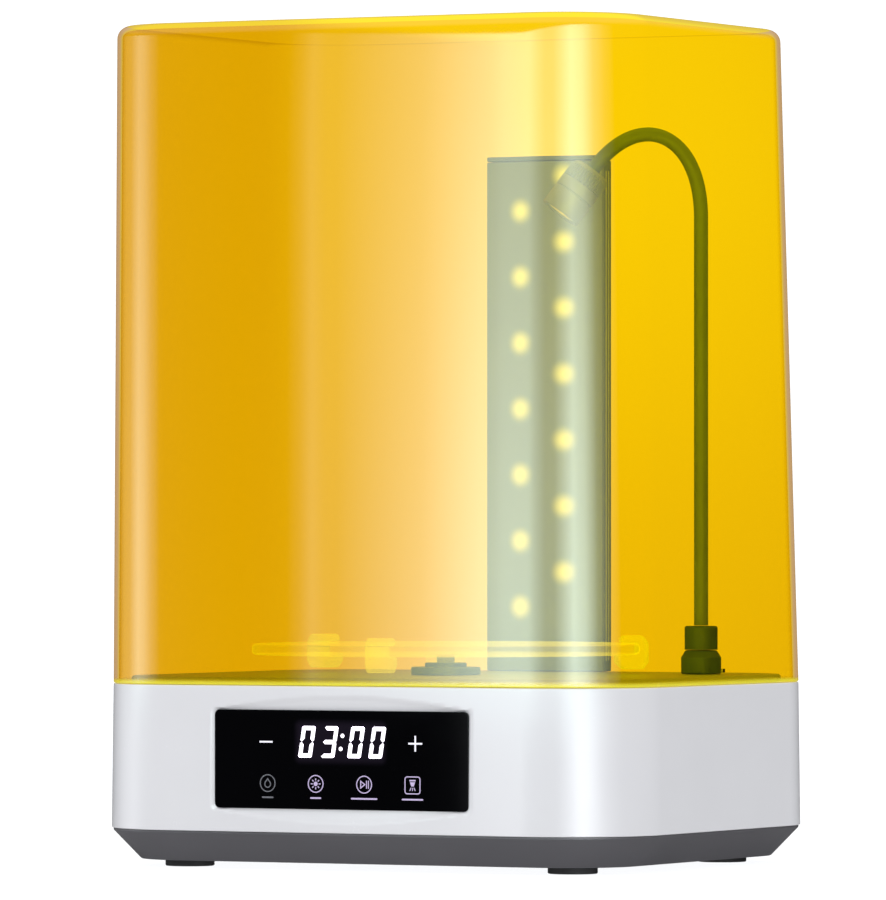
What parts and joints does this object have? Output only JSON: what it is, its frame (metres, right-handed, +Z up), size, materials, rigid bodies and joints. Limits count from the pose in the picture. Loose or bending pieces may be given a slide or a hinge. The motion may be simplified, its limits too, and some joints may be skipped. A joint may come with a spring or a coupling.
{
  "type": "resin wash and cure station",
  "caption": "Countertop station that washes and cures resin prints, with an amber lift-off hood, a motor-driven turntable, a light tower, a bendable lamp and a touch display",
  "frame": {"origin": "on the floor under the middle of the machine, at the bottom of its rubber feet", "axes": "+Z up, the front with the display faces -Y, +X to the right seen from the front"},
  "size_m": [0.337, 0.28, 0.47],
  "materials": {
    "white_housing": "satin moulded",
    "grey_tray": "fine-textured moulded",
    "black_rubber": "matte",
    "steel": "zinc plated",
    "deck_grey": "satin moulded",
    "black_glass": "polished black glass, back painted",
    "circuit_board": "solder mask",
    "black_plastic": "satin moulded",
    "brass": "plated",
    "amber_hood": "clear amber acrylic, polished",
    "clear_turntable": "clear moulded, polished",
    "tower_grey": "satin moulded",
    "diffuser": "frosted",
    "led_strip": "white solder mask",
    "magnet": "nickel plated"
  },
  "bodies": {
    "base": {"base_housing": "white_housing", "bottom_tray": "grey_tray", "buzzer": "black_plastic", "deck_plate": "deck_grey", "digit_display": "black_plastic", "drive_motor": "steel", "foot_front_left": "black_rubber", "foot_front_right": "black_rubber", "foot_rear_left": "black_rubber", "foot_rear_right": "black_rubber", "foot_screw_front_left": "steel", "foot_screw_front_right": "steel", "foot_screw_rear_left": "steel", "foot_screw_rear_right": "steel", "hood_sensor": "circuit_board", "icon_light_guide": "diffuser", "inlet_pin": "brass", "lamp_socket": "black_plastic", "main_board": "circuit_board", "motor_bracket": "steel", "motor_screw_1": "steel", "motor_screw_2": "steel", "motor_screw_3": "steel", "motor_screw_4": "steel", "power_inlet": "black_plastic", "shaft_bearing": "steel", "shaft_seal": "black_rubber", "switch_frame": "black_plastic", "touch_board": "circuit_board", "touch_glass": "black_glass", "tower_cap": "tower_grey", "tower_diffuser": "diffuser", "tower_housing": "tower_grey", "uv_strip_left": "led_strip", "uv_strip_right": "led_strip"},
    "hood": {"uv_hood": "amber_hood", "hood_magnet": "magnet"},
    "spindle": {"motor_shaft": "steel", "drive_hub": "deck_grey", "hub_magnet_ring": "magnet"},
    "turntable": {"turntable_disc": "clear_turntable", "rim_block_left": "clear_turntable", "rim_block_front": "clear_turntable", "rim_block_right": "clear_turntable"},
    "lamp_plug": {"plug_body": "black_plastic", "plug_sleeve": "black_plastic"},
    "lamp_neck": {"neck_lower": "black_plastic"},
    "lamp_head": {"neck_upper": "black_plastic", "lamp_head": "black_plastic", "head_collar": "black_plastic", "lamp_led_board": "led_strip", "lamp_lens": "diffuser"},
    "power_rocker": {"power_rocker": "black_plastic"}
  },
  "joints": [
    {"name": "hood_lift", "type": "slide", "parent": "base", "child": "hood", "axis": [0, 0, 1], "range_m": [0, 0.37]},
    {"name": "turntable_spin", "type": "hinge", "parent": "base", "child": "spindle", "pos_m": [0, -0.0143, 0.1], "axis": [0, 0, 1], "continuous": true},
    {"name": "turntable_lift", "type": "slide", "parent": "spindle", "child": "turntable", "axis": [0, 0, 1], "range_m": [0, 0.05]},
    {"name": "lamp_unplug", "type": "slide", "parent": "base", "child": "lamp_plug", "axis": [0, 0, 1], "range_m": [0, 0.016]},
    {"name": "lamp_swivel", "type": "hinge", "parent": "lamp_plug", "child": "lamp_neck", "pos_m": [0.118, 0.071, 0.134], "axis": [0, 0, 1], "range_deg": [-18, 60]},
    {"name": "lamp_bend", "type": "hinge", "parent": "lamp_neck", "child": "lamp_head", "pos_m": [0.09342, 0.05379, 0.411], "axis": [0.5736, -0.8192, 0], "range_deg": [-20, 20]},
    {"name": "power_switch", "type": "hinge", "parent": "base", "child": "power_rocker", "pos_m": [0.05, 0.1354, 0.052], "axis": [0, 0, 1], "range_deg": [-14, 0]}
  ]
}
